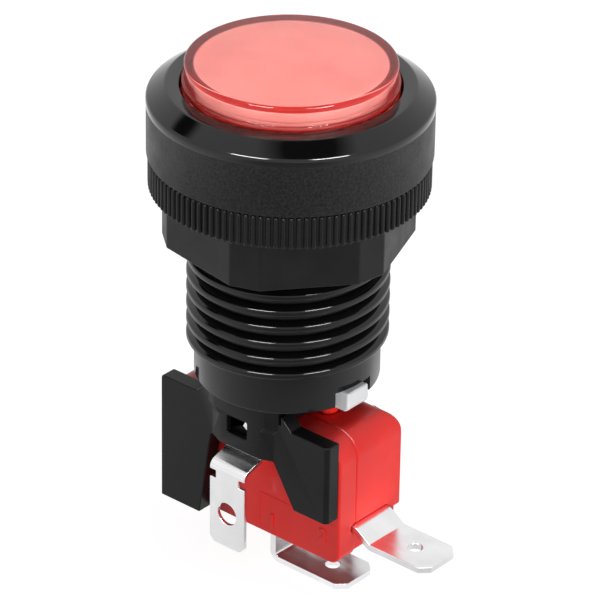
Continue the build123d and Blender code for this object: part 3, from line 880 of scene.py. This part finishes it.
def numeralMesh(text, x, y, z):
    curve = bpy.data.curves.new("numeral", "FONT")
    curve.body = text
    curve.size = coverMarks["height"] * mm
    curve.extrude = coverMarks["numeralRise"] * mm
    curve.bevel_depth = coverMarks["numeralRound"] * mm
    label = newObject("numeral", curve)
    mesh = evaluatedMesh(label)
    bpy.data.objects.remove(label)
    place = Matrix.Translation(Vector((x, y, z)) * mm)
    mesh.transform(place @ Matrix.Rotation(math.pi / 2, 4, "X"))
    return mesh


def makeCoverMarks():
    face = nodeBox("switch_cover")[0].y
    bm = bmesh.new()
    bm.from_mesh(cornerLine(face))
    bmesh.ops.recalc_face_normals(bm, faces=bm.faces)
    for text, x, z in coverMarks["numerals"]:
        bm.from_mesh(numeralMesh(text, x, face, z))
    bmesh.ops.remove_doubles(bm, verts=bm.verts, dist=mergeDistance)
    marks = newObject("coverMarks", meshFromBm("coverMarks", bm))
    paint(marks, "switchRed")
    finishPiece(marks, "base")


makeCoverMarks()
print("pieces made")


# camera, fitted to the photograph's view; angles in degrees, lens and sensor in mm, the rest in metres
view = {
    "place": (0.26950, -0.31708, 0.21418), "azimuth": 40.1758, "elevation": 29.2498, "roll": 0.9601,
    "lens": 254.1, "sensor": 36, "clip": (0.01, 20),
}


def makeCamera():
    data = bpy.data.cameras.new("camera")
    data.lens = view["lens"]
    data.sensor_width = view["sensor"]
    data.clip_start, data.clip_end = view["clip"]
    camera = newObject("camera", data)
    azimuth, elevation, roll = (math.radians(view[k]) for k in ("azimuth", "elevation", "roll"))
    aim = Matrix.Rotation(azimuth, 4, "Z") @ Matrix.Rotation(math.pi / 2 - elevation, 4, "X")
    camera.matrix_world = Matrix.Translation(view["place"]) @ aim @ Matrix.Rotation(roll, 4, "Z")
    bpy.context.scene.camera = camera


makeCamera()


# stage, in metres and degrees
stageLook = {
    "size": 4.0, "floorGap": 0.0002, "floor": (0.35, 0.35, 0.35), "lift": 0.92, "fill": 0.22,
    "matte": 0.9, "card": (0.005, 0.005, 0.005), "cardEdge": 0.5, "target": (0, 0, -0.02),
    # soft black cards, seen only in gloss: towards the camera, to the right, above; length, width; strength
    "cards": {
        "overCard": (0.05, 0.075, 0.5, 0.5, 0.4, 1.0),
        "leftCard": (-0.28, -0.46, 0.5, 0.3, 0.3, 1.0),
        "frontCard": (0.14, 0.0, -0.051, 0.3, 0.2, 0.6),
        "rearCard": (-0.06, 0.0, -0.0512, 0.08, 0.12, 0.6),
    },
    # azimuth from the camera's, elevation, distance, width, height; watts;
    # whether it lights plain surfaces and whether gloss shows it
    "lamps": {
        "stripLeft": (-37, 48, 0.7, 0.28, 0.14, 6.0, False, True),
        "stripRight": (37, 48, 0.7, 0.28, 0.14, 6.0, False, True),
        "overhead": (75, 76, 0.8, 0.4, 0.4, 1.2, True, False),
        "sideRight": (62, 0, 0.8, 0.5, 0.06, 1.4, True, False),
        "frontLow": (10, 0, 0.8, 0.3, 0.06, 4.0, True, False),
    },
}


def directionTo(azimuth, elevation):
    a, e = math.radians(azimuth), math.radians(elevation)
    return Vector((math.sin(a) * math.cos(e), -math.cos(a) * math.cos(e), math.sin(e)))


def seenDirectly(tree):
    # 1 on camera, mirror and see-through rays
    path = tree.nodes.new("ShaderNodeLightPath")
    seen = path.outputs["Is Camera Ray"]
    for label in ("Is Glossy Ray", "Is Transmission Ray"):
        seen = addMath(tree, "MAXIMUM", seen, path.outputs[label])
    return seen


def matteMaterial(name, colour):
    material, tree, shader = startMaterial(name, colour, stageLook["matte"])
    shader.inputs["Specular IOR Level"].default_value = 0.0
    return material, tree, shader


def makeFloor():
    height = cadLow.z - stageLook["floorGap"]
    floor = newObject("floor", squareMesh("floor", stageLook["size"] / 2, height))
    material, tree, shader = matteMaterial("paleFloor", stageLook["floor"])
    shader.inputs["Emission Color"].default_value = white
    lift = spread(tree, seenDirectly(tree), 0, stageLook["lift"], 0, 1)
    tree.links.new(lift, shader.inputs["Emission Strength"])
    floor.data.materials.append(material)


def cardFinish(name, strength):
    # black in the middle, fading to clear at the rim
    material, tree, shader = matteMaterial(name, stageLook["card"])
    place = tree.nodes.new("ShaderNodeTexCoord")
    fade = tree.nodes.new("ShaderNodeTexGradient")
    fade.gradient_type = "SPHERICAL"
    tree.links.new(place.outputs["Object"], fade.inputs["Vector"])
    cover = spread(tree, fade.outputs["Fac"], 0, strength, 0, stageLook["cardEdge"])
    tree.links.new(cover, shader.inputs["Alpha"])
    return material


def makeCards():
    turn = Matrix.Rotation(math.radians(view["azimuth"]), 4, "Z")
    for name, (forward, side, above, length, width, strength) in stageLook["cards"].items():
        card = newObject(name, squareMesh(name, 1, 0))
        place = Matrix.Translation((side, -forward, above))
        card.matrix_world = turn @ place @ Matrix.Diagonal((width / 2, length / 2, 1, 1))
        card.data.materials.append(cardFinish(name, strength))
        card.visible_camera = card.visible_diffuse = False
        card.visible_shadow = card.visible_transmission = False


def makeWorld():
    world = bpy.data.worlds.new("studio")
    bpy.context.scene.world = world
    world.use_nodes = True
    tree = world.node_tree
    back = tree.nodes["Background"]
    back.inputs["Color"].default_value = white
    fill = spread(tree, seenDirectly(tree), stageLook["fill"], 1, 0, 1)
    tree.links.new(fill, back.inputs["Strength"])


def makeLamps():
    target = Vector(stageLook["target"])
    for name, settings in stageLook["lamps"].items():
        azimuth, elevation, distance, width, height, power, lights, shows = settings
        lamp = bpy.data.lights.new(name, "AREA")
        lamp.shape = "RECTANGLE"
        lamp.size, lamp.size_y, lamp.energy = width, height, power
        obj = newObject(name, lamp)
        away = directionTo(view["azimuth"] + azimuth, elevation)
        obj.location = target + away * distance
        obj.rotation_euler = (-away).to_track_quat("-Z", "Y").to_euler()
        obj.visible_diffuse, obj.visible_glossy = lights, shows


makeFloor()
makeCards()
makeWorld()
makeLamps()
bpy.context.scene.view_settings.view_transform = "Standard"

print("stage, lights and camera set")
